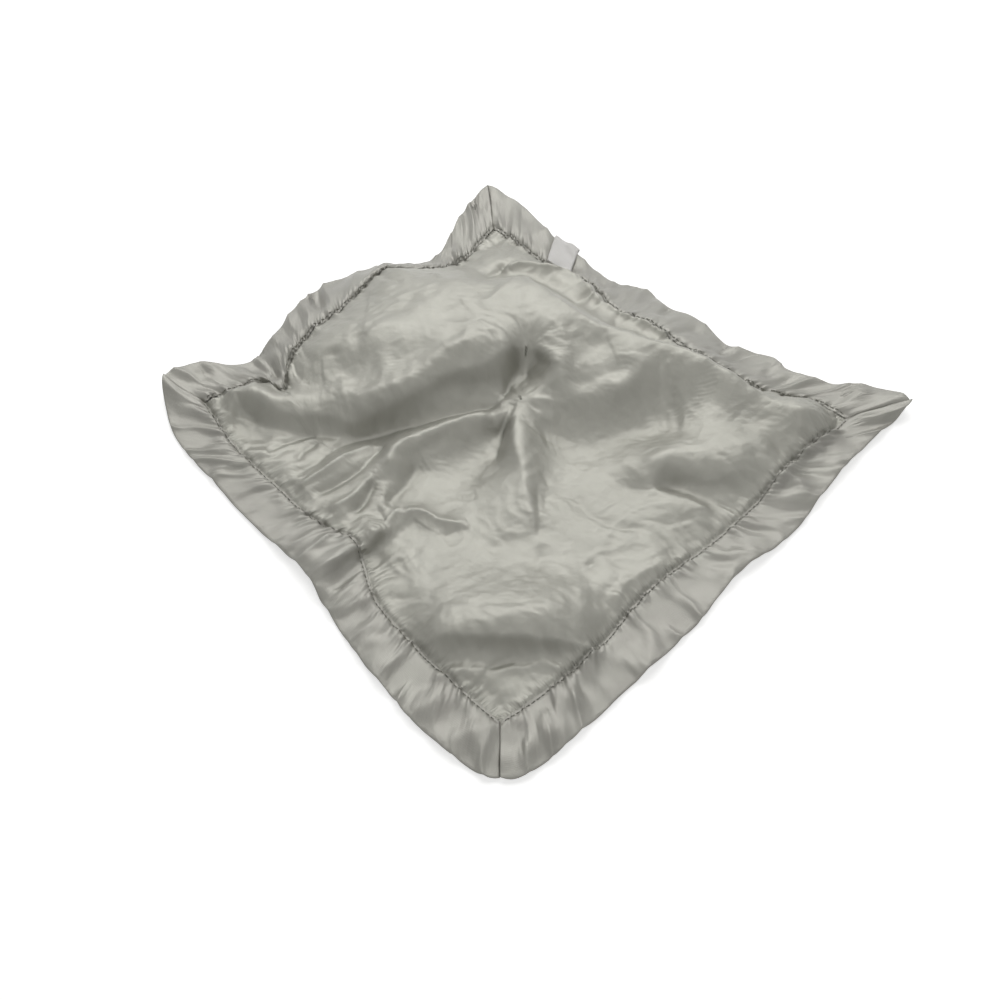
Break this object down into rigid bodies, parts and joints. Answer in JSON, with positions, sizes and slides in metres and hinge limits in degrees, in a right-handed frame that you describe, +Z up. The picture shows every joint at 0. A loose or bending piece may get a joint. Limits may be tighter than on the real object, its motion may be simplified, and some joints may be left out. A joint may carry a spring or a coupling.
{
  "type": "comfort blanket lovey",
  "caption": "Satin-backed square comfort blanket with a folded satin border, lying satin side up over its soft plush animal head.",
  "frame": {"origin": "centre of the draped blanket's outline, on the table that it lies on", "axes": "+Z up from the table, satin side up; X and Y run along the blanket's four edges, with the soft head under the -X side and the care label at the +Y edge"},
  "size_m": [0.3249, 0.3407, 0.0406],
  "materials": {
    "satin": "satin",
    "ribbon": "satin",
    "plush": "short pile plush",
    "thread": "polyester thread",
    "label": "printed satin tape",
    "stuffing": "polyester fibre",
    "embroidery": "satin stitch"
  },
  "bodies": {
    "blanket": {"satin_panel": "satin", "plush_panel": "plush", "border_front": "ribbon", "border_right": "ribbon", "border_back": "ribbon", "border_left": "ribbon", "stitches_front": "thread", "stitches_right": "thread", "stitches_back": "thread", "stitches_left": "thread", "mitre_stitches_front": "thread", "mitre_stitches_right": "thread", "mitre_stitches_back": "thread", "mitre_stitches_left": "thread", "tack_stitch_rear": "thread", "tack_stitch_front": "thread"},
    "label": {"care_label": "label"},
    "head": {"head_skin": "plush", "head_stuffing": "stuffing", "muzzle": "plush", "nose": "embroidery", "mouth_stitches": "embroidery", "eye_left": "embroidery", "eye_right": "embroidery", "neck_stitches": "thread"},
    "ear_left": {"ear_left": "plush", "ear_left_lining": "satin"},
    "ear_right": {"ear_right": "plush", "ear_right_lining": "satin"}
  },
  "joints": [
    {"name": "label_flip", "type": "hinge", "parent": "blanket", "child": "label", "pos_m": [-0.06479, 0.11329, 0.00899], "axis": [0.9978, 0.0321, 0.0584], "range_deg": [0, 110]},
    {"name": "head_turn", "type": "hinge", "parent": "blanket", "child": "head", "pos_m": [-0.01305, 0.02033, 0.01141], "axis": [0.9443, 0.3291, 0], "range_deg": [-4, 4], "stiffness_Nm_per_rad": 0.05},
    {"name": "ear_left_fold", "type": "hinge", "parent": "head", "child": "ear_left", "pos_m": [-0.07937, -0.03058, 0.0096], "axis": [-0.8764, 0.4816, 0], "range_deg": [-12, 12], "stiffness_Nm_per_rad": 0.01},
    {"name": "ear_right_fold", "type": "hinge", "parent": "head", "child": "ear_right", "pos_m": [-0.09665, 0.01899, 0.0096], "axis": [0.3873, 0.9219, 0], "range_deg": [-12, 12], "stiffness_Nm_per_rad": 0.01}
  ]
}
